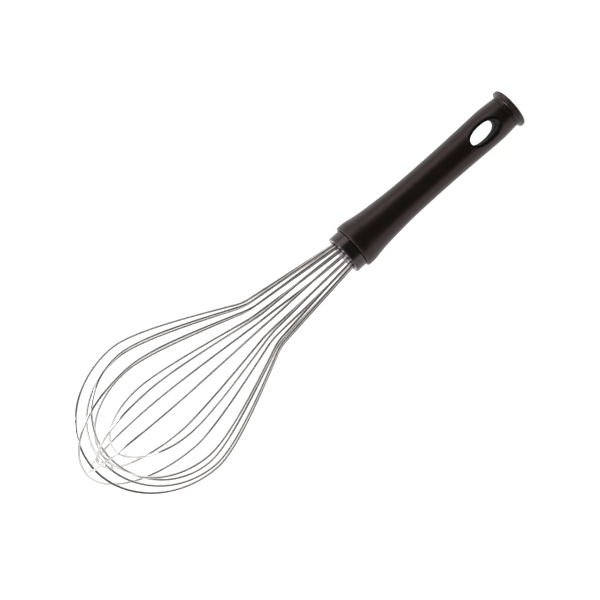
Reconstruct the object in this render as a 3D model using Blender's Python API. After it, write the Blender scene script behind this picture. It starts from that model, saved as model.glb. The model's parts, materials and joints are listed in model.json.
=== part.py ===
"""Balloon whisk, 350 mm long: a hollow moulded handle and eight nested spring-steel wire loops.

The whisk is modelled along its own X axis: x = 0 is the collar's front face, the wires run towards -X and the
handle towards +X. A bearing is an angle round that axis, counted from +Z towards -Y. The empty "whisk_axis" then
lays the whole whisk down as it rests on a flat surface, on two neighbouring wires and the end cap's rim.
"""
import math

import bmesh
import bpy
from mathutils import Matrix, Vector

MM = 0.001
GAP = 0.3 * MM            # clearance between pieces that touch on the real whisk
MERGE = 0.001 * MM        # joins the seam of a turned shape
TURN_STEPS = 36           # facets round a turned piece

# Lie of the whisk on a flat surface
REST_ROLL = math.radians(6.37)
REST_PITCH = math.radians(6.86)
REST_PLACE = (32.23 * MM, -2.51 * MM, 29.95 * MM)

# Wire loops
WIRE_RADIUS = 0.85 * MM
WIRE_BEVEL = 2            # eight-sided wire
COLLAR_RING = 9.1 * MM    # radius of the ring on which the wires leave the collar
SHOULDER_REACH = 66.2 * MM
SHOULDER_RADIUS = 17.7 * MM
SHOULDER_ROUND = 5.0 * MM
SHOULDER_SLOPE = math.radians(26.2)
BELLY_REACH = 144.4 * MM  # where the balloon is widest, measured from the collar
BELLY_RADIUS = 48.5 * MM
SHOULDER_PULL = 40.2 * MM
BELLY_PULL = 14.4 * MM
CAGE_LEAN = 0.0194        # sideways set of the balloon for each unit of reach
CROSSING_ROUND = 6.0 * MM
FIRST_HOLE = -92.35       # bearing of the first collar hole, degrees
HOLE_STEP = 22.5
# For each loop: the bearings of its two strands at the belly, degrees, and its tip's reach, mm. The loops cross
# at the tip, one inside the other, so every tip has a reach of its own.
LOOPS = (
    (-86.5, 87.0, 200.6),
    (-59.5, 116.0, 188.9),
    (-41.5, 141.0, 206.0),
    (-16.0, 158.5, 196.2),
    (3.5, 188.5, 203.6),
    (26.5, 204.5, 183.5),
    (54.5, 222.0, 191.3),
    (73.0, 240.5, 193.8),
)

# Collar, resin and anchor disc, from the front face backwards
COLLAR_RADIUS = 13.3 * MM
COLLAR_CHAMFER = 0.5 * MM
COLLAR_REACH = 7.4 * MM   # the part that stands out of the handle
SPIGOT_RADIUS = 11.3 * MM
COLLAR_LENGTH = 15.7 * MM
HOLE_RADIUS = 1.22 * MM
HOLE_SIDES = 10
RESIN_START = COLLAR_LENGTH + GAP
RESIN_LENGTH = 7.0 * MM
DISC_START = RESIN_START + RESIN_LENGTH + GAP
DISC_LENGTH = 2.0 * MM
POT_RADIUS = 11.1 * MM    # bore round the resin and the disc
HOOK_START = DISC_START + DISC_LENGTH + 1.1 * MM
HOOK_BEND = 1.8 * MM
HOOK_END = 0.6 * MM

# Handle
HANDLE_START = COLLAR_REACH + GAP
HANDLE_END = 134.0 * MM
SOCKET_RADIUS = SPIGOT_RADIUS + GAP
CAVITY_RADIUS = 8.4 * MM
POT_END = 30.5 * MM
CAVITY_START = 46.0 * MM
# Outline stations: distance from the collar's front face and radius, mm
HANDLE_STATIONS = (
    (7.7, 14.55), (8.1, 14.95), (9.5, 15.13), (13.0, 15.07), (15.0, 14.8), (17.5, 14.3), (21.0, 13.75),
    (25.0, 13.22), (31.0, 12.7), (38.0, 12.17), (46.0, 11.68), (56.0, 11.34), (66.0, 11.22), (80.0, 11.2),
    (92.0, 11.31), (104.0, 11.53), (116.0, 11.82), (121.5, 11.92), (125.0, 11.82), (129.0, 11.56), (134.0, 11.15),
)

# Hanging eye
EYE_PLACE = 115.3 * MM
EYE_BEARING = math.radians(6.5)   # the eye is not quite square to the wires
EYE_HALF_LENGTH = 10.8 * MM
EYE_HALF_WIDTH = 4.6 * MM
EYE_DRAFT = 0.5 * MM      # how much wider the hole is at its mouths than in the middle
EYE_WALL_ENDS = 1.5 * MM
EYE_WALL_SIDES = 2.2 * MM
EYE_PROUD = 0.15 * MM
EYE_POWER = 2.2           # oval exponent, 2 is an ellipse
EYE_SIDES = 36
EYE_DEPTH = 14.0 * MM     # half height of the bars that cut the eye, more than the handle's radius

# End cap
CAP_START = HANDLE_END + GAP
CAP_NECK = 11.1 * MM
CAP_RADIUS = 13.45 * MM
CAP_COVE = 3.0 * MM       # length of the concave flare from the neck to the rim
CAP_RIM = 2.7 * MM
CAP_ROUND = 0.9 * MM
CAP_DOME = 1.1 * MM
CAP_SPIGOT = 3.4 * MM

# Colours
HANDLE_COLOUR = (0.030, 0.024, 0.022)
STEEL_COLOUR = (0.62, 0.61, 0.60)
RESIN_COLOUR = (0.35, 0.27, 0.16)


def material(name, colour, roughness, metallic):
    made = bpy.data.materials.new(name)
    made.use_nodes = True
    shader = made.node_tree.nodes["Principled BSDF"]
    shader.inputs["Base Color"].default_value = (*colour, 1.0)
    shader.inputs["Roughness"].default_value = roughness
    shader.inputs["Metallic"].default_value = metallic
    made.diffuse_color = (*colour, 1.0)
    return made


def add_object(name, data, parent, place=(0.0, 0.0, 0.0)):
    made = bpy.data.objects.new(name, data)
    bpy.context.scene.collection.objects.link(made)
    made.parent = parent
    made.location = place
    return made


def mesh_from(name, bm):
    """Store a bmesh as a mesh with outward faces, smooth but for its real edges."""
    bmesh.ops.recalc_face_normals(bm, faces=bm.faces)
    mesh = bpy.data.meshes.new(name)
    bm.to_mesh(mesh)
    bm.free()
    mesh.shade_smooth()
    mesh.set_sharp_from_angle(angle=math.radians(35.0))
    return mesh


def turned(name, outline, hollow=False):
    """Turn an outline of (x, radius) points once round the X axis. A hollow outline closes on itself."""
    bm = bmesh.new()
    points = [bm.verts.new((x, radius, 0.0)) for x, radius in outline]
    for first, second in zip(points, points[1:]):
        bm.edges.new((first, second))
    if hollow:
        bm.edges.new((points[-1], points[0]))
    bmesh.ops.spin(bm, geom=bm.verts[:] + bm.edges[:], cent=(0.0, 0.0, 0.0), axis=(1.0, 0.0, 0.0),
                   angle=2.0 * math.pi, steps=TURN_STEPS)
    bmesh.ops.remove_doubles(bm, verts=bm.verts[:], dist=MERGE)
    return mesh_from(name, bm)


def cut(piece, cutter, operation="DIFFERENCE"):
    """Cut one object with another, which stays as a hidden wire guide."""
    cutter.hide_render = True
    cutter.display_type = "WIRE"
    boolean = piece.modifiers.new(cutter.name, "BOOLEAN")
    boolean.operation = operation
    boolean.solver = "EXACT"
    boolean.object = cutter


def arc(centre_x, centre_r, radius, start, end, count):
    """Points on an arc in the (x, radius) plane; angles in degrees, counted from +x towards +radius."""
    angles = [math.radians(start + (end - start) * i / count) for i in range(count + 1)]
    return [(centre_x + radius * math.cos(a), centre_r + radius * math.sin(a)) for a in angles]


def around(reach, radius, bearing):
    """The point at a reach from the collar towards the tip, and at a radius and bearing round the axis."""
    return Vector((-reach, -radius * math.sin(bearing), radius * math.cos(bearing)))


# ---------------------------------------------------------------- wire loops

def bezier(controls, count):
    """Points on a Bezier curve of any degree, without its first point."""
    degree = len(controls) - 1
    points = []
    for i in range(1, count + 1):
        u = i / count
        weights = [math.comb(degree, k) * u**k * (1 - u) ** (degree - k) for k in range(degree + 1)]
        points.append(tuple(sum(w * c[axis] for w, c in zip(weights, controls)) for axis in (0, 1)))
    return points


def neck_radius(reach):
    """Radius of a wire's lower stretch: level inside the handle, then straight outwards from the collar's face."""
    return COLLAR_RING + (SHOULDER_RADIUS - COLLAR_RING) * max(reach, 0.0) / SHOULDER_REACH


def strand_outline(tip_reach):
    """(reach, radius) points of half a loop, from its hooked end in the handle to its tip on the axis."""
    hook_radius = COLLAR_RING - HOOK_BEND
    hook = [(-x, r) for x, r in arc(HOOK_START, hook_radius, HOOK_BEND, 0.0, 90.0, 3)]
    outline = [(hook[0][0], hook_radius - HOOK_END), *hook]

    before = SHOULDER_REACH - SHOULDER_ROUND
    slope = (math.cos(SHOULDER_SLOPE), math.sin(SHOULDER_SLOPE))
    shoulder = (SHOULDER_REACH, SHOULDER_RADIUS)
    after = tuple(shoulder[axis] + SHOULDER_ROUND * slope[axis] for axis in (0, 1))
    pull = tuple(after[axis] + (SHOULDER_PULL - SHOULDER_ROUND) * slope[axis] for axis in (0, 1))
    outline.append((0.0, COLLAR_RING))
    outline += [(before * part, neck_radius(before * part)) for part in (0.35, 0.7, 1.0)]
    outline += bezier([outline[-1], shoulder, after], 3)
    outline += bezier([after, pull, (BELLY_REACH - BELLY_PULL, BELLY_RADIUS), (BELLY_REACH, BELLY_RADIUS)], 7)

    tip_steps = 10
    for i in range(1, tip_steps + 1):
        turn = 0.5 * math.pi * i / tip_steps
        reach = BELLY_REACH + (tip_reach - BELLY_REACH) * math.sin(turn)
        outline.append((reach, BELLY_RADIUS * math.cos(turn)))
    return outline


def loop_path(number, near, far, tip):
    """Points along one whole loop, in through its tip and back."""
    hole = math.radians(FIRST_HOLE + HOLE_STEP * number)
    near, far = math.radians(near), math.radians(far)
    middle = 0.5 * (near + far) - 0.5 * math.pi
    skew = 0.5 * (math.pi - (far - near))
    outline = strand_outline(tip * MM)
    sides = []
    for side, hole_bearing in ((1.0, hole), (-1.0, hole + math.pi)):
        points = []
        for reach, radius in outline:
            across = side * radius
            aside = math.sin(skew) * (math.hypot(radius, CROSSING_ROUND) - CROSSING_ROUND)
            belly = around(reach, across * math.cos(skew), middle) + around(0.0, aside, middle + 0.5 * math.pi)
            spread = min(max(reach / SHOULDER_REACH, 0.0), 1.0)
            spread = spread * spread * (3.0 - 2.0 * spread)
            point = around(reach, radius, hole_bearing).lerp(belly, spread)
            point.y += CAGE_LEAN * max(reach, 0.0)
            points.append(point)
        sides.append(points)
    return sides[0] + sides[1][-2::-1]


def wire_loop(number, near, far, tip, parent, steel):
    """One continuous wire, hooked at both ends inside the handle."""
    curve = bpy.data.curves.new(f"wire_loop_{number + 1}", "CURVE")
    curve.dimensions = "3D"
    path = loop_path(number, near, far, tip)
    spline = curve.splines.new("POLY")
    spline.points.add(len(path) - 1)
    for point, position in zip(spline.points, path):
        point.co = (*position, 1.0)
    curve.bevel_depth = WIRE_RADIUS
    curve.bevel_resolution = WIRE_BEVEL
    curve.use_fill_caps = True
    curve.materials.append(steel)
    return add_object(curve.name, curve, parent)


# ---------------------------------------------------------------- pieces with a hole for each wire

def wire_holes(name, start, end, parent):
    """Cutter: a drill for each wire, from one x to another."""
    bm = bmesh.new()
    along_x = Matrix.Rotation(0.5 * math.pi, 3, "Y")
    for number in range(2 * len(LOOPS)):
        bearing = math.radians(FIRST_HOLE + HOLE_STEP * number)
        drill = bmesh.ops.create_cone(bm, cap_ends=True, segments=HOLE_SIDES, radius1=HOLE_RADIUS,
                                      radius2=HOLE_RADIUS, depth=end - start)
        bmesh.ops.rotate(bm, verts=drill["verts"], cent=(0.0, 0.0, 0.0), matrix=along_x)
        bmesh.ops.translate(bm, verts=drill["verts"], vec=around(-0.5 * (start + end), COLLAR_RING, bearing))
    return add_object(name, mesh_from(name, bm), parent)


def drilled(name, outline, start, length, parent, finish):
    """A turned plug at a place along the axis, with a hole for each wire."""
    plug = add_object(name, turned(name, outline), parent, (start, 0.0, 0.0))
    plug.data.materials.append(finish)
    margin = 2.0 * MM
    cut(plug, wire_holes(f"{name}_drills", start - margin, start + length + margin, parent))
    return plug


def wire_collar(parent, finish):
    """Front plug: a plain ring that stands out of the handle and a spigot inside it."""
    outline = [
        (0.0, 0.0),
        (0.0, COLLAR_RADIUS - COLLAR_CHAMFER),
        (COLLAR_CHAMFER, COLLAR_RADIUS),
        (COLLAR_REACH, COLLAR_RADIUS),
        (COLLAR_REACH, SPIGOT_RADIUS),
        (COLLAR_LENGTH, SPIGOT_RADIUS),
        (COLLAR_LENGTH, 0.0),
    ]
    return drilled("wire_collar", outline, 0.0, COLLAR_LENGTH, parent, finish)


def resin_seal(parent, finish):
    """Cast plug that locks the wires behind the collar."""
    radius = POT_RADIUS - GAP
    outline = [(0.0, 0.0), (0.0, radius), (RESIN_LENGTH, radius), (RESIN_LENGTH, 0.0)]
    return drilled("resin_seal", outline, RESIN_START, RESIN_LENGTH, parent, finish)


def anchor_disc(parent, finish):
    """Steel disc that the hooked wire ends bear on."""
    radius = POT_RADIUS - GAP
    outline = [(0.0, 0.0), (0.0, radius), (DISC_LENGTH, radius), (DISC_LENGTH, 0.0)]
    return drilled("anchor_disc", outline, DISC_START, DISC_LENGTH, parent, finish)


# ---------------------------------------------------------------- handle, eye and cap

def oval(bm, half_length, half_width, height):
    """A closed ring of points round an oval, level at a height above the axis."""
    ring = []
    for i in range(EYE_SIDES):
        turn = 2.0 * math.pi * i / EYE_SIDES
        along, across = math.cos(turn), math.sin(turn)
        x = math.copysign(abs(along) ** (2.0 / EYE_POWER), along) * half_length
        y = math.copysign(abs(across) ** (2.0 / EYE_POWER), across) * half_width
        ring.append(bm.verts.new((x, y, height)))
    return ring


def oval_bar(name, sections, parent):
    """A bar up through the handle, from (half length, half width, height) sections."""
    bm = bmesh.new()
    rings = [oval(bm, *section) for section in sections]
    for lower, upper in zip(rings, rings[1:]):
        for i in range(EYE_SIDES):
            j = (i + 1) % EYE_SIDES
            bm.faces.new((lower[i], lower[j], upper[j], upper[i]))
    bm.faces.new(rings[0][::-1])
    bm.faces.new(rings[-1])
    bar = add_object(name, mesh_from(name, bm), parent, (EYE_PLACE, 0.0, 0.0))
    bar.rotation_euler = (EYE_BEARING, 0.0, 0.0)
    return bar


def eye_section(extra, height):
    """Oval section round the sleeve's outside, grown by an extra clearance."""
    half_length = EYE_HALF_LENGTH + EYE_WALL_ENDS + extra
    half_width = EYE_HALF_WIDTH + EYE_WALL_SIDES + extra
    return (half_length, half_width, height)


def handle_outline():
    return [(x * MM, radius * MM) for x, radius in HANDLE_STATIONS]


def handle_shell(parent, finish):
    """Hollow waisted grip: a socket for the collar in front, a bore for the cap's spigot behind."""
    bore = [
        (HANDLE_END, CAVITY_RADIUS),
        (CAVITY_START, CAVITY_RADIUS),
        (POT_END, POT_RADIUS),
        (RESIN_START, POT_RADIUS),
        (RESIN_START, SOCKET_RADIUS),
        (HANDLE_START, SOCKET_RADIUS),
    ]
    shell = add_object("handle_shell", turned("handle_shell", handle_outline() + bore, hollow=True), parent)
    shell.data.materials.append(finish)
    opening = [eye_section(GAP, -EYE_DEPTH), eye_section(GAP, EYE_DEPTH)]
    cut(shell, oval_bar("eye_opening", opening, parent))
    return shell


def hanging_eye(parent, finish):
    """Oval sleeve through the handle, trimmed just proud of its surface, with a hole that narrows to its middle."""
    eye = oval_bar("hanging_eye", [eye_section(0.0, -EYE_DEPTH), eye_section(0.0, EYE_DEPTH)], parent)
    eye.data.materials.append(finish)
    skin = [(x, radius + EYE_PROUD) for x, radius in handle_outline()]
    closed_skin = [(skin[0][0], 0.0), *skin, (skin[-1][0], 0.0)]
    cut(eye, add_object("eye_trim", turned("eye_trim", closed_skin), parent), "INTERSECT")
    mouth = (EYE_HALF_LENGTH + EYE_DRAFT, EYE_HALF_WIDTH + EYE_DRAFT)
    hole = [(*mouth, -EYE_DEPTH), (EYE_HALF_LENGTH, EYE_HALF_WIDTH, 0.0), (*mouth, EYE_DEPTH)]
    cut(eye, oval_bar("eye_hole", hole, parent))
    return eye


def end_cap(parent, finish):
    """Flanged cap: a spigot in the bore, a concave flare out to the rim, and a low dome."""
    spigot = CAVITY_RADIUS - GAP
    flare = CAP_RADIUS - CAP_NECK
    cove = [(CAP_COVE * math.sin(a), CAP_NECK + flare * (1.0 - math.cos(a)))
            for a in (0.5 * math.pi * i / 4 for i in range(5))]
    rim_end = CAP_COVE + CAP_RIM
    rim = arc(rim_end - CAP_ROUND, CAP_RADIUS - CAP_ROUND, CAP_ROUND, 90.0, 20.0, 3)
    dome = [(rim_end + CAP_DOME * math.sin(a), rim[-1][1] * math.cos(a))
            for a in (0.5 * math.pi * i / 6 for i in range(1, 7))]
    dome[-1] = (dome[-1][0], 0.0)
    outline = [(-CAP_SPIGOT, 0.0), (-CAP_SPIGOT, spigot), (0.0, spigot), *cove, *rim, *dome]
    cap = add_object("end_cap", turned("end_cap", outline), parent, (CAP_START, 0.0, 0.0))
    cap.data.materials.append(finish)
    return cap


def build():
    for old in list(bpy.data.objects):
        bpy.data.objects.remove(old, do_unlink=True)

    axis = add_object("whisk_axis", None, None, REST_PLACE)
    axis.rotation_euler = (REST_ROLL, REST_PITCH, 0.0)

    handle_shell(axis, material("handle_plastic", HANDLE_COLOUR, 0.32, 0.0))
    wire_collar(axis, material("collar_plastic", HANDLE_COLOUR, 0.25, 0.0))
    end_cap(axis, material("cap_plastic", HANDLE_COLOUR, 0.30, 0.0))
    hanging_eye(axis, material("eye_plastic", HANDLE_COLOUR, 0.28, 0.0))
    resin_seal(axis, material("resin", RESIN_COLOUR, 0.40, 0.0))
    anchor_disc(axis, material("disc_steel", STEEL_COLOUR, 0.35, 1.0))
    for number, (near, far, tip) in enumerate(LOOPS):
        wire_loop(number, near, far, tip, axis, material(f"wire_steel_{number + 1}", STEEL_COLOUR, 0.15, 1.0))


build()
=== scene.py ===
import json
import math

import bmesh
import bpy
from mathutils import Matrix, Vector


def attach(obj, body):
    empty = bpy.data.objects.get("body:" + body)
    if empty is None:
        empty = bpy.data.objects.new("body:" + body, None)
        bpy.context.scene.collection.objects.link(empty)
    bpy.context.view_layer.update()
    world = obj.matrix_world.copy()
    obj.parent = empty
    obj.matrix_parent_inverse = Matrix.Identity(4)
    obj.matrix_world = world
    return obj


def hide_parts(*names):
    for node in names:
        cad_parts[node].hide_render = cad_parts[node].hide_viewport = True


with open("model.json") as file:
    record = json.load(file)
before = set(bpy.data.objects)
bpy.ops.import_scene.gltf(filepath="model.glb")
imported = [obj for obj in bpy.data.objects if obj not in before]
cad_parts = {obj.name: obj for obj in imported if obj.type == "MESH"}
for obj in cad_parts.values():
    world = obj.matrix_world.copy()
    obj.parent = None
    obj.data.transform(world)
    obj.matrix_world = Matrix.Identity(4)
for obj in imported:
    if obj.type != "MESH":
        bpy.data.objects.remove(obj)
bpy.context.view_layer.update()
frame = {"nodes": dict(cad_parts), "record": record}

MM = 0.001
FULL_TURN = 2.0 * math.pi

# ---------------------------------------------------------------- sizes, as in the CAD source

GAP = 0.3 * MM             # between pieces that fit in each other

WIRE_RADIUS = 0.85 * MM
COLLAR_RING = 9.1 * MM     # radius of the ring on which the wires leave the collar
SHOULDER_REACH = 66.2 * MM
SHOULDER_RADIUS = 17.7 * MM
SHOULDER_ROUND = 5.0 * MM
SHOULDER_SLOPE = math.radians(26.2)
BELLY_REACH = 144.4 * MM
BELLY_RADIUS = 48.5 * MM
SHOULDER_PULL = 40.2 * MM
BELLY_PULL = 14.4 * MM
CAGE_LEAN = 0.0194         # how far the cage leans sideways, for each unit of reach
CROSSING_ROUND = 6.0 * MM  # how softly a skewed loop bends as it passes the axis
FIRST_HOLE = -92.35        # bearing of the first wire hole, degrees
HOLE_STEP = 22.5
# For each loop: the bearings of its two strands at the belly, degrees, and its tip's reach, mm
LOOPS = (
    (-86.5, 87.0, 200.6),
    (-59.5, 116.0, 188.9),
    (-41.5, 141.0, 206.0),
    (-16.0, 158.5, 196.2),
    (3.5, 188.5, 203.6),
    (26.5, 204.5, 183.5),
    (54.5, 222.0, 191.3),
    (73.0, 240.5, 193.8),
)
HOOK_START = 26.4 * MM
HOOK_BEND = 1.8 * MM
HOOK_END = 0.6 * MM

COLLAR_RADIUS = 13.3 * MM
COLLAR_REACH = 7.4 * MM
SPIGOT_RADIUS = 11.3 * MM
COLLAR_LENGTH = 15.7 * MM
COLLAR_EDGE = 0.45 * MM
COLLAR_INNER_EDGE = 0.2 * MM
COLLAR_SIDE_ROWS = (1.2, 3.0, 5.0, 7.0)    # rings along the collar's side, mm from its front face
HOLE_RADIUS = 0.98 * MM
SINK_RADIUS = 1.35 * MM    # mouth of a wire hole's countersink
# Outline of a wire hole in the collar: distance from the front face and radius
HOLE_OUTLINE = (
    (0.0, SINK_RADIUS), (0.12 * MM, SINK_RADIUS - 0.16 * MM), (0.35 * MM, HOLE_RADIUS),
    (COLLAR_LENGTH, HOLE_RADIUS),
)

HANDLE_START = COLLAR_REACH + GAP
HANDLE_END = 134.0 * MM
SOCKET_RADIUS = SPIGOT_RADIUS + GAP
POT_RADIUS = 11.1 * MM
POT_START = 16.0 * MM
POT_END = 30.5 * MM
CAVITY_START = 46.0 * MM
CAVITY_RADIUS = 8.4 * MM
CAVITY_ROW = 80.0 * MM     # a ring between the cavity's start and the eye's window
LIP_ROUND = 0.9 * MM
LIP_FACE = 1.6 * MM        # a ring on the lip's flat face is this far in from the skin
LIP_WEAR_REACH = 1.0 * MM  # distance behind the lip in which its wear fades
SOCKET_CHAMFER = 0.4 * MM
BACK_EDGE = 0.2 * MM
BACK_ROWS = (132.3, 133.0)                 # rings between the eye's window and the rear end, mm
# Outline stations from the front lip backwards: distance from the collar's front face and radius, mm
HANDLE_STATIONS = (
    (7.7, 15.08), (9.5, 15.13), (13.0, 15.07), (15.0, 14.8), (17.5, 14.3), (21.0, 13.75),
    (25.0, 13.22), (31.0, 12.7), (38.0, 12.17), (46.0, 11.68), (56.0, 11.34), (66.0, 11.22),
    (80.0, 11.2), (92.0, 11.31), (104.0, 11.53), (116.0, 11.82), (121.5, 11.92), (125.0, 11.82),
    (129.0, 11.56), (134.0, 11.15),
)

EYE_PLACE = 115.3 * MM
EYE_BEARING = math.radians(6.5)
EYE_HALF_LENGTH = 10.8 * MM
EYE_HALF_WIDTH = 4.6 * MM
EYE_DRAFT = 0.5 * MM
EYE_DRAFT_HEIGHT = 14.0 * MM
EYE_WALL_ENDS = 1.5 * MM
EYE_WALL_SIDES = 2.2 * MM
EYE_POWER = 2.2            # 2 is an ellipse, and more is squarer
EYE_OUTER_ROUND = 0.3 * MM
EYE_LEAD_IN = 1.3 * MM     # rounding of the hole's mouths
EYE_LEAD_IN_WIDTH = 0.9    # the rounding's width and depth, in lead-ins
EYE_LEAD_IN_DEPTH = 1.3
EYE_LEVEL = 0.12 * MM      # how far the rim stands above the handle's skin
EYE_RIM_DROP = 0.05 * MM   # from the rim down to the start of the hole's rounding
EYE_WALL_DEPTH = 3.0 * MM  # a ring on the sleeve's outer wall is this far below the rim
EYE_RIDGE = 0.28 * MM
EYE_RIDGE_TOP = 0.6 * MM   # half height of the parting ridge
EYE_BORE_MARGIN = 1.8 * MM # taken off the rim's height to place the rings of the plain bore
# The parting ridge's outline: height from mid depth, mm, and how far it stands out, in ridges
EYE_RIDGE_OUTLINE = ((0.6, 0.0), (0.45, 0.3), (0.3, 0.8))
MOUTH_ROUND = 0.3 * MM     # rounding of the handle's window, where the sleeve comes through it
MOUTH_CLEARANCE = 0.12 * MM

CAP_START = HANDLE_END + GAP
CAP_NECK = 11.1 * MM
CAP_RADIUS = 13.45 * MM
CAP_COVE = 3.0 * MM
CAP_RIM = 2.7 * MM
CAP_ROUND = 0.9 * MM
CAP_DOME = 1.1 * MM
CAP_SPIGOT = 3.4 * MM
CAP_SPIGOT_EDGE = 0.3 * MM
CAP_BEAD_END = 0.75 * MM
CAP_BEAD_ROUND = 0.2 * MM
CAP_BEAD_FACE = 0.35 * MM  # a ring on the bead's flat face is this far in from the neck's radius
CAP_GROOVE = 0.28 * MM
CAP_GROOVE_END = 1.15 * MM
CAP_FRONT_ROUND = 0.35 * MM

# ---------------------------------------------------------------- how finely the pieces are made

TURN_STEPS = 144           # points round a turned piece
SHARP_ANGLE = 38.0         # edges that are bent more than this are shaded sharp, degrees
WIRE_SIDES = 20
WIRE_END_RISE = 0.25       # how far the middle of a wire's end stands out, in wire radii
HOOK_STEPS = 8
NECK_STEPS = 22
SHOULDER_STEPS = 8
BELLY_STEPS = 34
TIP_STEPS = 44
HOLE_STEPS = 24
EYE_STEPS = 144            # points round the hanging eye
SKIN_STEP = 1.0 * MM       # between rings along the handle
WINDOW_CELL = 1.0 * MM     # between rings across the handle's eye window
WINDOW_CELLS = 32
WINDOW_COLUMNS = 31        # columns of the eye window on each side of its middle
WINDOW_LOOPS = 7           # loops of faces from the window's edge to the eye's mouth
COVE_STEPS = 12
DOME_STEPS = 24

# ---------------------------------------------------------------- how the pieces look

NOISE_LOW, NOISE_HIGH = 0.3, 0.7           # most of a noise texture's values lie between these
MOULD_GRAIN_DEPTH = 0.03 * MM
SCRATCH_DEPTH = 0.01 * MM
WIRE_LINE_DEPTH = 0.006 * MM
BROWN_HIGHLIGHT = (1.0, 0.71, 0.66, 1.0)
PALE_BROWN_HIGHLIGHT = (1.0, 0.80, 0.74, 1.0)
COLLAR_SHADE_START = -90.0 * MM    # painted shade on the wires, darker and browner towards the collar, grows from here
COLLAR_SHADE_FULL = -50.0 * MM     # and is whole from here to the collar

FLOOR_RADIUS = 9.0
FLOOR_COLOUR = (0.80, 0.80, 0.80, 1.0)
FLOOR_GLOW = 0.86
LAMP_DISTANCE = 1.6
# The surroundings' brightness by the height of the direction looked in: 0 is level and 1 is straight up
HORIZON_HEIGHT = 0.12
HORIZON_COLOUR = (0.85, 0.85, 0.85, 1.0)
OVERHEAD_HEIGHT = 0.60
OVERHEAD_COLOUR = (0.10, 0.10, 0.095, 1.0)

CAMERA_TILT = math.radians(6.5)            # towards the tip, from square to the whisk
CAMERA_ROLL = math.radians(41.6)
CAMERA_ALONG = -38.1 * MM
CAMERA_ASIDE = -2.9 * MM
CAMERA_AWAY = 1.5
CAMERA_SENSOR = 36.0
CAMERA_LENS = 146.5


def whisk_place():
    """The whisk's own axes in the row frame, from the mount on its hanging eye, which is turned a little."""
    mount = frame["record"]["mounts"][0]
    through = Vector(mount["axis"]).normalized()
    # The whisk's axis is square to the row's Y axis and to the eye's, however the eye is turned about it.
    along = Vector((0.0, 1.0, 0.0)).cross(through).normalized()
    side = through.cross(along)
    aside = side * math.cos(EYE_BEARING) - through * math.sin(EYE_BEARING)
    up = through * math.cos(EYE_BEARING) + side * math.sin(EYE_BEARING)
    turn = Matrix((along, aside, up)).transposed().to_4x4()
    return Matrix.Translation(Vector(mount["pos_m"]) - EYE_PLACE * along) @ turn


PLACE = whisk_place()
EYE_TURN = Matrix.Rotation(EYE_BEARING, 3, "X")


# ---------------------------------------------------------------- mesh code

def around(reach, radius, bearing):
    """The point at a reach from the collar towards the tip, and at a radius and bearing round the axis."""
    return Vector((-reach, -radius * math.sin(bearing), radius * math.cos(bearing)))


def arc(centre_x, centre_r, radius, start, end, count):
    """Points on an arc in the (x, radius) plane; angles in degrees, counted from +x towards +radius."""
    angles = [math.radians(start + (end - start) * i / count) for i in range(count + 1)]
    return [(centre_x + radius * math.cos(a), centre_r + radius * math.sin(a)) for a in angles]


def new_bmesh():
    """A bmesh with the point layer that says how worn the surface is."""
    bm = bmesh.new()
    bm.verts.layers.float.new("wear")
    return bm


def ring(bm, x, radius, wear=0.0, steps=TURN_STEPS):
    """Points round the axis at one x, or a single point where the radius is nothing."""
    layer = bm.verts.layers.float["wear"]
    count = steps if radius > 0.0 else 1
    verts = [bm.verts.new(around(-x, radius, FULL_TURN * i / count)) for i in range(count)]
    for vert in verts:
        vert[layer] = wear
    return verts


def join(bm, rings, skip=None):
    """Faces between each ring and the next, but for those that skip(ring, column) names."""
    for row, (first, second) in enumerate(zip(rings, rings[1:])):
        count = max(len(first), len(second))
        for i in range(count):
            if skip and skip(row, i):
                continue
            j = (i + 1) % count
            corners = [first[i % len(first)], first[j % len(first)],
                       second[j % len(second)], second[i % len(second)]]
            bm.faces.new(dict.fromkeys(corners))


def add_piece(name, bm, material, cad_node):
    """Stores a bmesh as a piece that stands for a CAD node and rides on the whisk."""
    bmesh.ops.recalc_face_normals(bm, faces=bm.faces)
    mesh = bpy.data.meshes.new(name)
    bm.to_mesh(mesh)
    bm.free()
    mesh.shade_smooth()
    mesh.set_sharp_from_angle(angle=math.radians(SHARP_ANGLE))
    mesh.materials.append(material)
    mesh.transform(PLACE)
    piece = bpy.data.objects.new(name, mesh)
    bpy.context.scene.collection.objects.link(piece)
    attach(piece, "root")
    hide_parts(cad_node)


# ---------------------------------------------------------------- materials

def node(tree, kind, inputs=None, **settings):
    """Adds a shader node; an input is a value or the socket that feeds it."""
    made = tree.nodes.new("ShaderNode" + kind)
    for key, value in settings.items():
        setattr(made, key, value)
    for key, value in (inputs or {}).items():
        if isinstance(value, bpy.types.NodeSocket):
            tree.links.new(value, made.inputs[key])
        else:
            made.inputs[key].default_value = value
    return made


def noise(tree, vector, scale, detail, roughness=0.5):
    made = node(tree, "TexNoise", {"Vector": vector, "Scale": scale,
                                   "Detail": detail, "Roughness": roughness})
    return made.outputs[0]


def spread(tree, value, low=NOISE_LOW, high=NOISE_HIGH, to_low=0.0, to_high=1.0):
    """Maps low..high to to_low..to_high, clamped."""
    made = node(tree, "MapRange", {"Value": value, "From Min": low, "From Max": high,
                                   "To Min": to_low, "To Max": to_high})
    return made.outputs[0]


def calculate(tree, operation, first, second):
    return node(tree, "Math", {0: first, 1: second}, operation=operation).outputs[0]


def mixed(tree, factor, first, second):
    """A colour between two: each is a colour or a socket."""
    colours = []
    for value in (first, second):
        colours.append(value if isinstance(value, bpy.types.NodeSocket) else (*value, 1.0))
    return node(tree, "MixRGB", {"Fac": factor, "Color1": colours[0], "Color2": colours[1]}).outputs[0]


def stretched(tree, vector, scale):
    """Texture coordinates stretched along an axis, for marks that run that way."""
    return node(tree, "Mapping", {"Vector": vector, "Scale": scale}).outputs[0]


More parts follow.
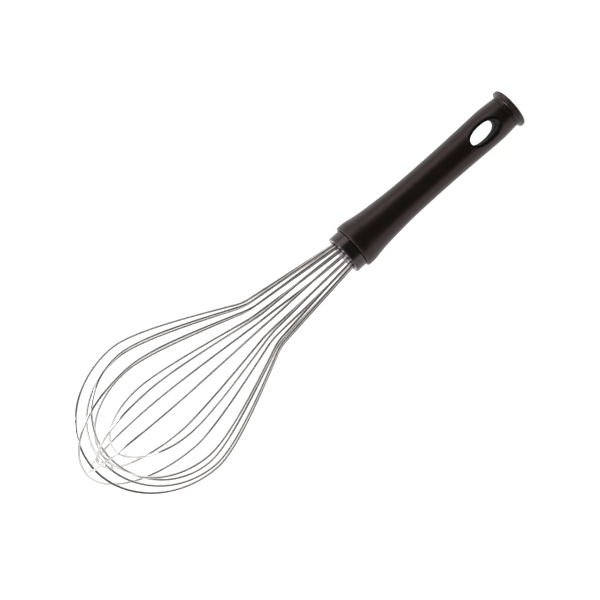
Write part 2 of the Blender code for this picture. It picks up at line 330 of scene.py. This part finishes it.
def bump(tree, height, strength, distance, below=None):
    inputs = {"Height": height, "Strength": strength, "Distance": distance}
    if below:
        inputs["Normal"] = below
    return node(tree, "Bump", inputs).outputs[0]


def new_material(name):
    made = bpy.data.materials.new(name)
    made.use_nodes = True
    return made, made.node_tree, made.node_tree.nodes["Principled BSDF"]


def whisk_coordinates(tree):
    """The whisk's own coordinates, from those of an object at the origin of the row frame."""
    place, turn, _ = PLACE.decompose()
    made = node(tree, "Mapping", {"Vector": node(tree, "TexCoord").outputs["Object"], "Location": place,
                                  "Rotation": turn.to_euler()}, vector_type="TEXTURE")
    return made.outputs[0]


def plastic(name, dark, light, worn, roughness, grain, specular, tint):
    """Moulded plastic: mottled tone, fine grain, lengthwise hairline scratches, and paler, duller worn edges.

    dark, light and worn are its colours, and roughness is that of its glossiest places.
    """
    made, tree, shader = new_material(name)
    place = whisk_coordinates(tree)
    mottle = noise(tree, place, 55.0, 4.0, 0.55)
    flow = noise(tree, stretched(tree, place, (35.0, 260.0, 260.0)), 1.0, 3.0)
    hairline = spread(tree, noise(tree, stretched(tree, place, (90.0, 2600.0, 2600.0)), 1.0, 2.0), 0.63, 0.72)
    nicks = noise(tree, place, 900.0, 3.0, 0.6)
    edge = node(tree, "Attribute", attribute_name="wear").outputs["Fac"]
    rubbed = calculate(tree, "MULTIPLY", edge, spread(tree, nicks, 0.35, 0.62))

    tone = mixed(tree, spread(tree, mottle), dark, light)
    tree.links.new(mixed(tree, rubbed, tone, worn), shader.inputs["Base Color"])
    dulled = calculate(tree, "ADD", spread(tree, flow, to_low=roughness, to_high=roughness + 0.07),
                       calculate(tree, "MULTIPLY", hairline, 0.10))
    dulled = calculate(tree, "ADD", dulled, calculate(tree, "MULTIPLY", rubbed, 0.12))
    tree.links.new(dulled, shader.inputs["Roughness"])
    moulded = bump(tree, noise(tree, place, 2300.0, 3.0, 0.6), grain, MOULD_GRAIN_DEPTH)
    waved = bump(tree, flow, 0.25, MOULD_GRAIN_DEPTH, moulded)
    tree.links.new(bump(tree, hairline, -0.2, SCRATCH_DEPTH, waved), shader.inputs["Normal"])
    shader.inputs["Specular IOR Level"].default_value = specular
    shader.inputs["Specular Tint"].default_value = tint
    return made


def drawn_steel(name):
    """Polished spring wire with drawing lines, water marks, scratches and painted shade that darkens and
    browns it near the collar.
    """
    made, tree, shader = new_material(name)
    place = node(tree, "Attribute", attribute_name="wire_place").outputs["Vector"]
    lines = noise(tree, stretched(tree, place, (45.0, 5200.0, 5200.0)), 1.0, 3.0, 0.6)
    marks = noise(tree, place, 140.0, 4.0, 0.6)
    scratch = spread(tree, noise(tree, stretched(tree, place, (4200.0, 420.0, 420.0)), 1.0, 2.0), 0.66, 0.74)
    from_collar = node(tree, "SeparateXYZ", {"Vector": whisk_coordinates(tree)}).outputs["X"]
    # Painted shade: the wire's colour turns darker and browner towards the collar
    collar_shade = spread(tree, from_collar, COLLAR_SHADE_START, COLLAR_SHADE_FULL)
    unshaded_steel = mixed(tree, spread(tree, marks, 0.35, 0.68), (0.62, 0.61, 0.60), (0.52, 0.51, 0.50))
    collar_shaded_steel = mixed(tree, spread(tree, marks, 0.35, 0.68), (0.42, 0.395, 0.385), (0.33, 0.305, 0.30))
    tree.links.new(mixed(tree, collar_shade, unshaded_steel, collar_shaded_steel), shader.inputs["Base Color"])
    dulled = calculate(tree, "ADD", spread(tree, lines, to_low=0.10, to_high=0.18),
                       spread(tree, marks, 0.5, 0.75, 0.0, 0.08))
    dulled = calculate(tree, "ADD", dulled, calculate(tree, "MULTIPLY", scratch, 0.08))
    tree.links.new(dulled, shader.inputs["Roughness"])
    lined = bump(tree, lines, 0.35, WIRE_LINE_DEPTH)
    tree.links.new(bump(tree, scratch, -0.3, WIRE_LINE_DEPTH, lined), shader.inputs["Normal"])
    shader.inputs["Metallic"].default_value = 1.0
    return made


def cast_resin():
    """Amber potting resin with fine bubbles and flow marks."""
    made, tree, shader = new_material("cast_resin")
    place = whisk_coordinates(tree)
    cloud = noise(tree, place, 220.0, 4.0, 0.6)
    bubbles = node(tree, "TexVoronoi", {"Vector": place, "Scale": 900.0}).outputs["Distance"]
    pits = spread(tree, bubbles, 0.12, 0.22)
    tree.links.new(mixed(tree, spread(tree, cloud), (0.38, 0.24, 0.09), (0.26, 0.15, 0.05)),
                   shader.inputs["Base Color"])
    tree.links.new(spread(tree, cloud, to_low=0.22, to_high=0.4), shader.inputs["Roughness"])
    tree.links.new(bump(tree, pits, 0.4, 0.05 * MM), shader.inputs["Normal"])
    return made


def stamped_steel():
    """Sheet steel disc with the rolling lines of its sheet and a few darker stains."""
    made, tree, shader = new_material("stamped_steel")
    place = whisk_coordinates(tree)
    lines = noise(tree, stretched(tree, place, (300.0, 60.0, 4200.0)), 1.0, 3.0)
    stains = noise(tree, place, 260.0, 4.0, 0.6)
    tree.links.new(mixed(tree, spread(tree, stains, 0.45, 0.7), (0.58, 0.57, 0.55), (0.40, 0.38, 0.35)),
                   shader.inputs["Base Color"])
    tree.links.new(spread(tree, lines, to_low=0.25, to_high=0.42), shader.inputs["Roughness"])
    tree.links.new(bump(tree, lines, 0.4, SCRATCH_DEPTH), shader.inputs["Normal"])
    shader.inputs["Metallic"].default_value = 1.0
    return made


# ---------------------------------------------------------------- wire loops

def bezier(controls, count):
    """Points on a Bezier curve of any degree, without its first point."""
    degree = len(controls) - 1
    points = []
    for i in range(1, count + 1):
        u = i / count
        weights = [math.comb(degree, k) * u**k * (1 - u) ** (degree - k) for k in range(degree + 1)]
        points.append(tuple(sum(w * c[axis] for w, c in zip(weights, controls)) for axis in (0, 1)))
    return points


def neck_radius(reach):
    """Radius of a wire's lower stretch: level in the handle, then straight outwards from the collar."""
    return COLLAR_RING + (SHOULDER_RADIUS - COLLAR_RING) * max(reach, 0.0) / SHOULDER_REACH


def strand_outline(tip_reach):
    """(reach, radius) points of half a loop, from its hooked end in the handle to its tip on the axis."""
    hook_radius = COLLAR_RING - HOOK_BEND
    hook = [(-x, r) for x, r in arc(HOOK_START, hook_radius, HOOK_BEND, 0.0, 90.0, HOOK_STEPS)]
    outline = [(hook[0][0], hook_radius - HOOK_END), *hook]

    before = SHOULDER_REACH - SHOULDER_ROUND
    slope = (math.cos(SHOULDER_SLOPE), math.sin(SHOULDER_SLOPE))
    shoulder = (SHOULDER_REACH, SHOULDER_RADIUS)
    after = tuple(shoulder[axis] + SHOULDER_ROUND * slope[axis] for axis in (0, 1))
    pull = tuple(after[axis] + (SHOULDER_PULL - SHOULDER_ROUND) * slope[axis] for axis in (0, 1))
    reaches = [before * i / NECK_STEPS for i in range(NECK_STEPS + 1)]
    outline += [(reach, neck_radius(reach)) for reach in reaches]
    outline += bezier([outline[-1], shoulder, after], SHOULDER_STEPS)
    belly = [(BELLY_REACH - BELLY_PULL, BELLY_RADIUS), (BELLY_REACH, BELLY_RADIUS)]
    outline += bezier([after, pull, *belly], BELLY_STEPS)

    for i in range(1, TIP_STEPS + 1):
        turn = 0.5 * math.pi * i / TIP_STEPS
        reach = BELLY_REACH + (tip_reach - BELLY_REACH) * math.sin(turn)
        outline.append((reach, BELLY_RADIUS * math.cos(turn)))
    return outline


def loop_path(number, near, far, tip):
    """Points along one whole loop, from one hooked end through its tip to the other."""
    hole = math.radians(FIRST_HOLE + HOLE_STEP * number)
    near, far = math.radians(near), math.radians(far)
    middle = 0.5 * (near + far) - 0.5 * math.pi
    skew = 0.5 * (math.pi - (far - near))
    outline = strand_outline(tip * MM)
    sides = []
    for side, hole_bearing in ((1.0, hole), (-1.0, hole + math.pi)):
        points = []
        for reach, radius in outline:
            across = side * radius
            aside = math.sin(skew) * (math.hypot(radius, CROSSING_ROUND) - CROSSING_ROUND)
            belly = around(reach, across * math.cos(skew), middle)
            belly += around(0.0, aside, middle + 0.5 * math.pi)
            turned_in = min(max(reach / SHOULDER_REACH, 0.0), 1.0)
            turned_in = turned_in * turned_in * (3.0 - 2.0 * turned_in)
            point = around(reach, radius, hole_bearing).lerp(belly, turned_in)
            point.y += CAGE_LEAN * max(reach, 0.0)
            points.append(point)
        sides.append(points)
    return sides[0] + sides[1][-2::-1]


def wire_loop(number, near, far, tip, material):
    """A round wire swept along its loop without twist, with slightly raised ends."""
    path = loop_path(number, near, far, tip)
    bm = new_bmesh()
    layer = bm.verts.layers.float_vector.new("wire_place")
    befores = [path[0]] + path[:-1]
    afters = path[1:] + [path[-1]]
    directions = [(after - before).normalized() for before, after in zip(befores, afters)]
    across = directions[0].orthogonal().normalized()
    rings = []
    along = 0.0
    for i, (point, direction) in enumerate(zip(path, directions)):
        if i:
            along += (point - path[i - 1]).length
        across = (across - across.dot(direction) * direction).normalized()
        other = direction.cross(across)
        verts = []
        for k in range(WIRE_SIDES):
            turn = FULL_TURN * k / WIRE_SIDES
            offset = WIRE_RADIUS * (math.cos(turn) * across + math.sin(turn) * other)
            vert = bm.verts.new(point + offset)
            vert[layer] = (along, WIRE_RADIUS * math.cos(turn), WIRE_RADIUS * math.sin(turn))
            verts.append(vert)
        rings.append(verts)
    for end, direction in ((0, -directions[0]), (-1, directions[-1])):
        point = bm.verts.new(path[end] + WIRE_END_RISE * WIRE_RADIUS * direction)
        point[layer] = (along if end else 0.0, 0.0, 0.0)
        rings = [[point]] + rings if end == 0 else rings + [[point]]
    join(bm, rings)
    name = f"wire_loop_{number + 1}"
    add_piece(f"{name}_drawn", bm, material, name)


# ---------------------------------------------------------------- collar

def wire_collar(material):
    """Front plug with rounded edges and a countersunk hole for each wire."""
    bm = new_bmesh()
    # Outline points: x, radius and wear
    front_edge = arc(COLLAR_EDGE, COLLAR_RADIUS - COLLAR_EDGE, COLLAR_EDGE, 180.0, 90.0, 6)
    outline = [(x, r, 1.0) for x, r in front_edge]
    outline += [(x * MM, COLLAR_RADIUS, 0.0) for x in COLLAR_SIDE_ROWS]
    back_edge = arc(COLLAR_REACH - COLLAR_INNER_EDGE, COLLAR_RADIUS - COLLAR_INNER_EDGE, COLLAR_INNER_EDGE,
                    90.0, 0.0, 3)
    outline += [(x, r, 0.3) for x, r in back_edge]
    outline += [(COLLAR_REACH, SPIGOT_RADIUS, 0.0), (COLLAR_LENGTH - COLLAR_EDGE, SPIGOT_RADIUS, 0.0)]
    outline += [(COLLAR_LENGTH, SPIGOT_RADIUS - COLLAR_EDGE, 0.0)]
    rings = [ring(bm, x, radius, wear) for x, radius, wear in outline]
    join(bm, rings)

    fronts = [rings[0]]
    backs = [rings[-1]]
    for number in range(2 * len(LOOPS)):
        bearing = math.radians(FIRST_HOLE + HOLE_STEP * number)
        tunnel = []
        for x, radius in HOLE_OUTLINE:
            centre = around(-x, neck_radius(-x), bearing)
            turns = [FULL_TURN * k / HOLE_STEPS for k in range(HOLE_STEPS)]
            tunnel.append([bm.verts.new(centre + around(0.0, radius, turn)) for turn in turns])
        join(bm, tunnel)
        fronts.append(tunnel[0])
        backs.append(tunnel[-1])
    bm.verts.index_update()
    for loops in (fronts, backs):
        edges = []
        for verts in loops:
            edges += [bm.edges.get((a, b)) for a, b in zip(verts, verts[1:] + verts[:1])]
        bmesh.ops.triangle_fill(bm, use_beauty=True, use_dissolve=False, edges=edges)
    add_piece("collar_moulding", bm, material, "wire_collar")


# ---------------------------------------------------------------- handle

def skin_radius(x):
    """Radius of the handle's outline: a smooth curve through its stations."""
    stations = [(reach * MM, radius * MM) for reach, radius in HANDLE_STATIONS]
    last = len(stations) - 1

    def slope(i):
        (x0, r0), (x1, r1) = stations[max(i - 1, 0)], stations[min(i + 1, last)]
        return (r1 - r0) / (x1 - x0)

    k = max(i for i in range(last) if stations[i][0] <= max(x, stations[0][0]))
    (x0, r0), (x1, r1) = stations[k], stations[k + 1]
    u = min(max((x - x0) / (x1 - x0), 0.0), 1.0)
    width = x1 - x0
    return (r0 * (1 + 2 * u) * (1 - u) ** 2 + width * slope(k) * u * (1 - u) ** 2
            + r1 * u * u * (3 - 2 * u) + width * slope(k + 1) * u * u * (u - 1))


def oval(turn, half_length, half_width):
    """A point on the eye's oval, from its middle: along the handle and across it."""
    along, across = math.cos(turn), math.sin(turn)
    return (math.copysign(abs(along) ** (2.0 / EYE_POWER), along) * half_length,
            math.copysign(abs(across) ** (2.0 / EYE_POWER), across) * half_width)


def handle_shell(material):
    """Hollow grip with a rounded front lip and an oval window through both walls, rounded at its mouths."""
    bm = new_bmesh()
    wear = bm.verts.layers.float["wear"]
    window_start = EYE_PLACE - 0.5 * WINDOW_CELLS * WINDOW_CELL
    window_xs = [window_start + WINDOW_CELL * i for i in range(WINDOW_CELLS + 1)]

    front_radius = skin_radius(HANDLE_START)
    # Outline points, from the socket's mouth over the skin and back through the bore: x, radius and wear
    outline = [(HANDLE_START, SOCKET_RADIUS + SOCKET_CHAMFER, 0.0)]
    outline += [(HANDLE_START, front_radius - LIP_FACE, 0.1)]
    lip = arc(HANDLE_START + LIP_ROUND, front_radius - LIP_ROUND, LIP_ROUND, 180.0, 90.0, 8)
    outline += [(x, r, 1.0) for x, r in lip]
    first_skin = HANDLE_START + LIP_ROUND + 0.5 * SKIN_STEP
    steps = round((window_start - first_skin) / SKIN_STEP)
    grip = [first_skin + (window_start - first_skin) * i / steps for i in range(steps)]
    outline += [(x, skin_radius(x), math.exp((HANDLE_START - x) / LIP_WEAR_REACH)) for x in grip]
    skin_row = len(outline)
    outline += [(x, skin_radius(x), 0.0) for x in window_xs]
    outline += [(x * MM, skin_radius(x * MM), 0.0) for x in BACK_ROWS]
    back_edge = arc(HANDLE_END - BACK_EDGE, skin_radius(HANDLE_END) - BACK_EDGE, BACK_EDGE, 90.0, 0.0, 3)
    outline += [(x, r, 0.8) for x, r in back_edge]
    outline += [(HANDLE_END, CAVITY_RADIUS, 0.0)]
    bore_row = len(outline)
    outline += [(x, CAVITY_RADIUS, 0.0) for x in reversed(window_xs)]
    outline += [(x, CAVITY_RADIUS, 0.0) for x in (CAVITY_ROW, CAVITY_START)]
    outline += [(POT_END, POT_RADIUS, 0.0), (POT_START, POT_RADIUS, 0.0), (POT_START, SOCKET_RADIUS, 0.0),
                (HANDLE_START + SOCKET_CHAMFER, SOCKET_RADIUS, 0.0)]
    rings = [ring(bm, x, radius, worn) for x, radius, worn in outline]
    middles = (0, TURN_STEPS // 2)

    def in_window(row, column):
        """Whether a face belongs to one of the eye's two windows, in the skin or in the bore."""
        columns = [(column - middle) % TURN_STEPS for middle in middles]
        across = any(c < WINDOW_COLUMNS or c >= TURN_STEPS - WINDOW_COLUMNS for c in columns)
        along = skin_row <= row < skin_row + WINDOW_CELLS or bore_row <= row < bore_row + WINDOW_CELLS
        return across and along

    join(bm, rings + [rings[0]], in_window)

    def frame_of(first_row, middle, backwards):
        """The points round a window's edge, each with its place along and bearing across from the middle."""
        rows = range(WINDOW_CELLS + 1)
        columns = range(-WINDOW_COLUMNS, WINDOW_COLUMNS + 1)
        cells = [(row, -WINDOW_COLUMNS) for row in rows][:-1]
        cells += [(WINDOW_CELLS, column) for column in columns][:-1]
        cells += [(row, WINDOW_COLUMNS) for row in reversed(rows)][:-1]
        cells += [(0, column) for column in reversed(columns)][:-1]
        found = []
        for row, column in cells:
            index = first_row + (WINDOW_CELLS - row if backwards else row)
            vert = rings[index][(middle + column) % TURN_STEPS]
            found.append((vert, window_xs[row] - EYE_PLACE, FULL_TURN * column / TURN_STEPS))
        return found

    half_angle = FULL_TURN * WINDOW_COLUMNS / TURN_STEPS
    half_cells = 0.5 * WINDOW_CELLS * WINDOW_CELL
    mouth_length = EYE_HALF_LENGTH + EYE_WALL_ENDS + MOUTH_CLEARANCE
    mouth_width = EYE_HALF_WIDTH + EYE_WALL_SIDES + MOUTH_CLEARANCE

    def mouth_loop(edge_points, middle, radius_at, grow, drop, share=1.0, worn=0.0):
        """A loop of points at a share of the way from a window's edge to the oval mouth.

        The mouth is grown and sunk by the lengths given.
        """
        side = 1.0 if middle == 0 else -1.0
        loop = []
        for _, along, bearing in edge_points:
            turn = math.atan2(bearing / half_angle, along / half_cells)
            x, across = oval(turn, mouth_length + grow, mouth_width + grow)
            radius = radius_at(EYE_PLACE + x)
            target = math.asin(across / radius)
            x = along + (x - along) * share
            bearing = bearing + (target - bearing) * share
            radius = radius_at(EYE_PLACE + x)
            point = around(-(EYE_PLACE + x), radius, bearing)
            point.z -= drop
            vert = bm.verts.new((point.x, side * point.y, side * point.z))
            vert[wear] = worn
            loop.append(vert)
        return loop

    def bore_radius(_):
        return CAVITY_RADIUS

    for middle in middles:
        outer = frame_of(skin_row, middle, False)
        inner = frame_of(bore_row, middle, True)
        loops = [[vert for vert, _, _ in outer]]
        for i in range(1, WINDOW_LOOPS + 1):
            share = i / WINDOW_LOOPS
            worn = 0.6 * share ** 6
            loops.append(mouth_loop(outer, middle, skin_radius, MOUTH_ROUND, 0.0, share, worn))
        for turn in (22.5, 45.0, 67.5, 90.0):
            grow = MOUTH_ROUND * (1.0 - math.sin(math.radians(turn)))
            drop = MOUTH_ROUND * (1.0 - math.cos(math.radians(turn)))
            loops.append(mouth_loop(outer, middle, skin_radius, grow, drop, 1.0, 0.8))
        for i in range(WINDOW_LOOPS, 0, -1):
            loops.append(mouth_loop(inner, middle, bore_radius, 0.0, 0.0, i / WINDOW_LOOPS))
        loops.append([vert for vert, _, _ in inner])
        join(bm, loops)
    bmesh.ops.rotate(bm, verts=bm.verts[:], cent=(0.0, 0.0, 0.0), matrix=EYE_TURN)
    add_piece("handle_moulding", bm, material, "handle_shell")


def hanging_eye(material):
    """Oval sleeve whose rim follows the handle, with rounded mouths, a drafted bore and a ridge inside."""
    bm = new_bmesh()
    wear = bm.verts.layers.float["wear"]
    outer = (EYE_HALF_LENGTH + EYE_WALL_ENDS, EYE_HALF_WIDTH + EYE_WALL_SIDES)
    turns = [FULL_TURN * i / EYE_STEPS for i in range(EYE_STEPS)]

    def rim_height(turn):
        x, across = oval(turn, *outer)
        return math.sqrt(skin_radius(EYE_PLACE + x) ** 2 - across ** 2) + EYE_LEVEL

    def bore_height(turn, part):
        """Height in the plain bore, from the parting ridge, part 0, to a little below the rim, part 1."""
        return EYE_RIDGE_TOP + part * (rim_height(turn) - EYE_BORE_MARGIN)

    def wall_loop(height_at, inset, worn=0.0):
        """Points round the sleeve, inset from its outer wall; height_at gives the height for a turn."""
        loop = []
        for turn in turns:
            x, across = oval(turn, outer[0] - inset, outer[1] - inset)
            vert = bm.verts.new((EYE_PLACE + x, -across, height_at(turn)))
            vert[wear] = worn
            loop.append(vert)
        return loop

    def bore_loop(height_at, grow, worn=0.0):
        """Points round the hole, which widens towards its mouths."""
        loop = []
        for turn in turns:
            height = height_at(turn)
            draft = EYE_DRAFT * abs(height) / EYE_DRAFT_HEIGHT + grow
            x, across = oval(turn, EYE_HALF_LENGTH + draft, EYE_HALF_WIDTH + draft)
            vert = bm.verts.new((EYE_PLACE + x, -across, height))
            vert[wear] = worn
            loop.append(vert)
        return loop

    loops = []
    for side in (1.0, -1.0):
        half = [wall_loop(lambda turn: side * (rim_height(turn) - EYE_WALL_DEPTH), 0.0)]
        for angle in (0.0, 30.0, 60.0, 90.0):
            inset = EYE_OUTER_ROUND * (1.0 - math.cos(math.radians(angle)))
            sunk = EYE_OUTER_ROUND * (1.0 - math.sin(math.radians(angle)))
            half.append(wall_loop(lambda turn: side * (rim_height(turn) - sunk), inset, 0.5))
        for angle in (0.0, 15.0, 30.0, 45.0, 60.0, 75.0, 90.0):
            grow = EYE_LEAD_IN * (1.0 - math.sin(math.radians(angle)))
            sunk = EYE_LEAD_IN * EYE_LEAD_IN_DEPTH * (1.0 - math.cos(math.radians(angle)))
            half.append(bore_loop(lambda turn: side * (rim_height(turn) - EYE_RIM_DROP - sunk),
                                  EYE_LEAD_IN_WIDTH * grow))
        for part in (0.75, 0.5, 0.25):
            half.append(bore_loop(lambda turn: side * bore_height(turn, part), 0.0))
        for height, proud in EYE_RIDGE_OUTLINE:
            half.append(bore_loop(lambda turn: side * height * MM, -EYE_RIDGE * proud))
        loops.append(half)
    middle = bore_loop(lambda turn: 0.0, -EYE_RIDGE)
    around_wall = loops[0] + [middle] + loops[1][::-1]
    join(bm, around_wall + [around_wall[0]])
    bmesh.ops.rotate(bm, verts=bm.verts[:], cent=(0.0, 0.0, 0.0), matrix=EYE_TURN)
    add_piece("eye_sleeve", bm, material, "hanging_eye")


def end_cap(material):
    """Flanged cap: a seating bead and groove at the handle, a concave flare, a rounded rim and a low dome."""
    bm = new_bmesh()
    spigot = CAVITY_RADIUS - GAP
    bead_radius = CAP_NECK - CAP_BEAD_ROUND
    groove_radius = CAP_NECK - CAP_GROOVE
    # Outline points: x from the cap's front, radius and wear
    outline = [(-CAP_SPIGOT, 0.0, 0.0), (-CAP_SPIGOT, spigot - CAP_SPIGOT_EDGE, 0.0)]
    outline += [(-CAP_SPIGOT + CAP_SPIGOT_EDGE, spigot, 0.0)]
    outline += [(0.0, spigot, 0.0), (0.0, CAP_NECK - CAP_BEAD_FACE, 0.0)]
    outline += [(x, r, 0.5) for x, r in arc(CAP_BEAD_ROUND, bead_radius, CAP_BEAD_ROUND, 180.0, 90.0, 4)]
    bead_back = arc(CAP_BEAD_END - CAP_BEAD_ROUND, bead_radius, CAP_BEAD_ROUND, 90.0, 20.0, 4)
    outline += [(x, r, 0.5) for x, r in bead_back]
    outline += [(CAP_BEAD_END + 0.08 * MM, groove_radius, 0.0)]
    outline += [(CAP_GROOVE_END - 0.1 * MM, groove_radius, 0.0)]
    flare = CAP_RADIUS - CAP_NECK
    for i in range(COVE_STEPS + 1):
        turn = 0.5 * math.pi * i / COVE_STEPS
        x = CAP_GROOVE_END + (CAP_COVE - CAP_GROOVE_END) * math.sin(turn)
        outline.append((x, CAP_NECK + flare * (1.0 - math.cos(turn)), 0.0))
    # The cove's last point gives way to the start of the rim's rounding
    outline[-1] = (CAP_COVE, CAP_RADIUS - CAP_FRONT_ROUND, 0.8)
    rim_front = arc(CAP_COVE + CAP_FRONT_ROUND, CAP_RADIUS - CAP_FRONT_ROUND, CAP_FRONT_ROUND, 160.0, 90.0, 4)
    outline += [(x, r, 1.0) for x, r in rim_front]
    rim_end = CAP_COVE + CAP_RIM
    rim = arc(rim_end - CAP_ROUND, CAP_RADIUS - CAP_ROUND, CAP_ROUND, 90.0, 20.0, 8)
    outline += [(x, r, 0.6) for x, r in rim]
    for i in range(1, DOME_STEPS + 1):
        turn = 0.5 * math.pi * i / DOME_STEPS
        radius = rim[-1][1] * math.cos(turn) if i < DOME_STEPS else 0.0
        outline.append((rim_end + CAP_DOME * math.sin(turn), radius, 0.0))
    rings = [ring(bm, CAP_START + x, radius, worn) for x, radius, worn in outline]
    join(bm, rings)
    add_piece("cap_moulding", bm, material, "end_cap")


# ---------------------------------------------------------------- floor, lights and camera

def floor():
    """A large pale disc that glows, so that the whisk hardly shades it."""
    bm = bmesh.new()
    bmesh.ops.create_circle(bm, cap_ends=True, segments=96, radius=FLOOR_RADIUS)
    mesh = bpy.data.meshes.new("floor")
    bm.to_mesh(mesh)
    bm.free()
    made, _, shader = new_material("floor_white")
    shader.inputs["Base Color"].default_value = FLOOR_COLOUR
    shader.inputs["Roughness"].default_value = 1.0
    shader.inputs["Specular IOR Level"].default_value = 0.0
    shader.inputs["Emission Color"].default_value = (1.0, 1.0, 1.0, 1.0)
    shader.inputs["Emission Strength"].default_value = FLOOR_GLOW
    mesh.materials.append(made)
    disc = bpy.data.objects.new("floor", mesh)
    bpy.context.scene.collection.objects.link(disc)


def softbox(name, azimuth, elevation, length, height, radiance):
    """A rectangular light that faces the collar.

    Its azimuth is counted from the handle, +X, towards +Y in the whisk's own axes; both angles in degrees.
    """
    light = bpy.data.lights.new(name, "AREA")
    light.shape = "RECTANGLE"
    light.size = length
    light.size_y = height
    light.energy = radiance * math.pi * length * height
    lamp = bpy.data.objects.new(name, light)
    azimuth = math.radians(azimuth)
    elevation = math.radians(elevation)
    away = Vector((math.cos(azimuth) * math.cos(elevation), math.sin(azimuth) * math.cos(elevation),
                   math.sin(elevation)))
    level = Vector((0.0, 0.0, 1.0)).cross(away).normalized()
    turn = Matrix((level, away.cross(level), away)).transposed().to_4x4()
    lamp.matrix_world = PLACE @ Matrix.Translation(LAMP_DISTANCE * away) @ turn
    lamp.visible_camera = False
    bpy.context.scene.collection.objects.link(lamp)


def surroundings():
    """Pale round the horizon and dark overhead, but plain white where the camera sees it directly."""
    world = bpy.data.worlds.new("surroundings")
    world.use_nodes = True
    tree = world.node_tree
    background = tree.nodes["Background"]
    direction = node(tree, "TexCoord").outputs["Generated"]
    height = node(tree, "SeparateXYZ", {"Vector": direction}).outputs["Z"]
    ramp = node(tree, "ValToRGB", {"Fac": height})
    ramp.color_ramp.interpolation = "EASE"
    stops = ramp.color_ramp.elements
    stops[0].position = HORIZON_HEIGHT
    stops[0].color = HORIZON_COLOUR
    stops[1].position = OVERHEAD_HEIGHT
    stops[1].color = OVERHEAD_COLOUR
    seen = node(tree, "LightPath").outputs["Is Camera Ray"]
    shown = mixed(tree, seen, ramp.outputs["Color"], (1.0, 1.0, 1.0))
    tree.links.new(shown, background.inputs["Color"])
    bpy.context.scene.world = world


def camera():
    """Looks down at the wires from a little towards the tip, with the handle to the upper right."""
    away = Vector((-math.sin(CAMERA_TILT), 0.0, math.cos(CAMERA_TILT)))
    along = Vector((math.cos(CAMERA_TILT), 0.0, math.sin(CAMERA_TILT)))
    aside = Vector((0.0, 1.0, 0.0))
    over = CAMERA_ALONG * along + CAMERA_ASIDE * aside + CAMERA_AWAY * away
    data = bpy.data.cameras.new("camera")
    data.sensor_width = CAMERA_SENSOR
    data.lens = CAMERA_LENS
    right = math.cos(CAMERA_ROLL) * along - math.sin(CAMERA_ROLL) * aside
    up = math.sin(CAMERA_ROLL) * along + math.cos(CAMERA_ROLL) * aside
    turn = Matrix((right, up, away)).transposed().to_4x4()
    made = bpy.data.objects.new("camera", data)
    made.matrix_world = PLACE @ Matrix.Translation(over) @ turn
    bpy.context.scene.collection.objects.link(made)
    bpy.context.scene.camera = made


def build():
    """The pieces, then what stands round them."""
    handle_shell(plastic("handle_black", dark=(0.0075, 0.0058, 0.0050), light=(0.0115, 0.0088, 0.0078),
                         worn=(0.045, 0.040, 0.038), roughness=0.30, grain=0.28, specular=0.35,
                         tint=BROWN_HIGHLIGHT))
    wire_collar(plastic("collar_black", dark=(0.0060, 0.0055, 0.0052), light=(0.0085, 0.0078, 0.0075),
                        worn=(0.060, 0.056, 0.054), roughness=0.20, grain=0.12, specular=0.6,
                        tint=PALE_BROWN_HIGHLIGHT))
    end_cap(plastic("cap_black", dark=(0.0085, 0.0070, 0.0064), light=(0.0125, 0.0100, 0.0092),
                    worn=(0.050, 0.045, 0.043), roughness=0.28, grain=0.25, specular=0.4,
                    tint=PALE_BROWN_HIGHLIGHT))
    hanging_eye(plastic("eye_black", dark=(0.0040, 0.0040, 0.0038), light=(0.0060, 0.0058, 0.0055),
                        worn=(0.030, 0.029, 0.028), roughness=0.60, grain=0.15, specular=0.1,
                        tint=PALE_BROWN_HIGHLIGHT))
    for number, (near, far, tip) in enumerate(LOOPS):
        wire_loop(number, near, far, tip, drawn_steel(f"wire_steel_{number + 1}"))
    for name, slot, material in (("resin_seal", "resin", cast_resin()),
                                 ("anchor_disc", "disc_steel", stamped_steel())):
        frame["nodes"][name].material_slots[0].material = material

    floor()
    softbox("key_softbox", azimuth=90.0, elevation=31.0, length=1.8, height=0.95, radiance=1.9)
    softbox("fill_softbox", azimuth=-90.0, elevation=20.0, length=2.2, height=0.62, radiance=0.8)
    softbox("tip_softbox", azimuth=152.0, elevation=14.0, length=0.6, height=0.35, radiance=18.0)
    surroundings()
    camera()
    bpy.context.scene.view_settings.view_transform = "Standard"


build()
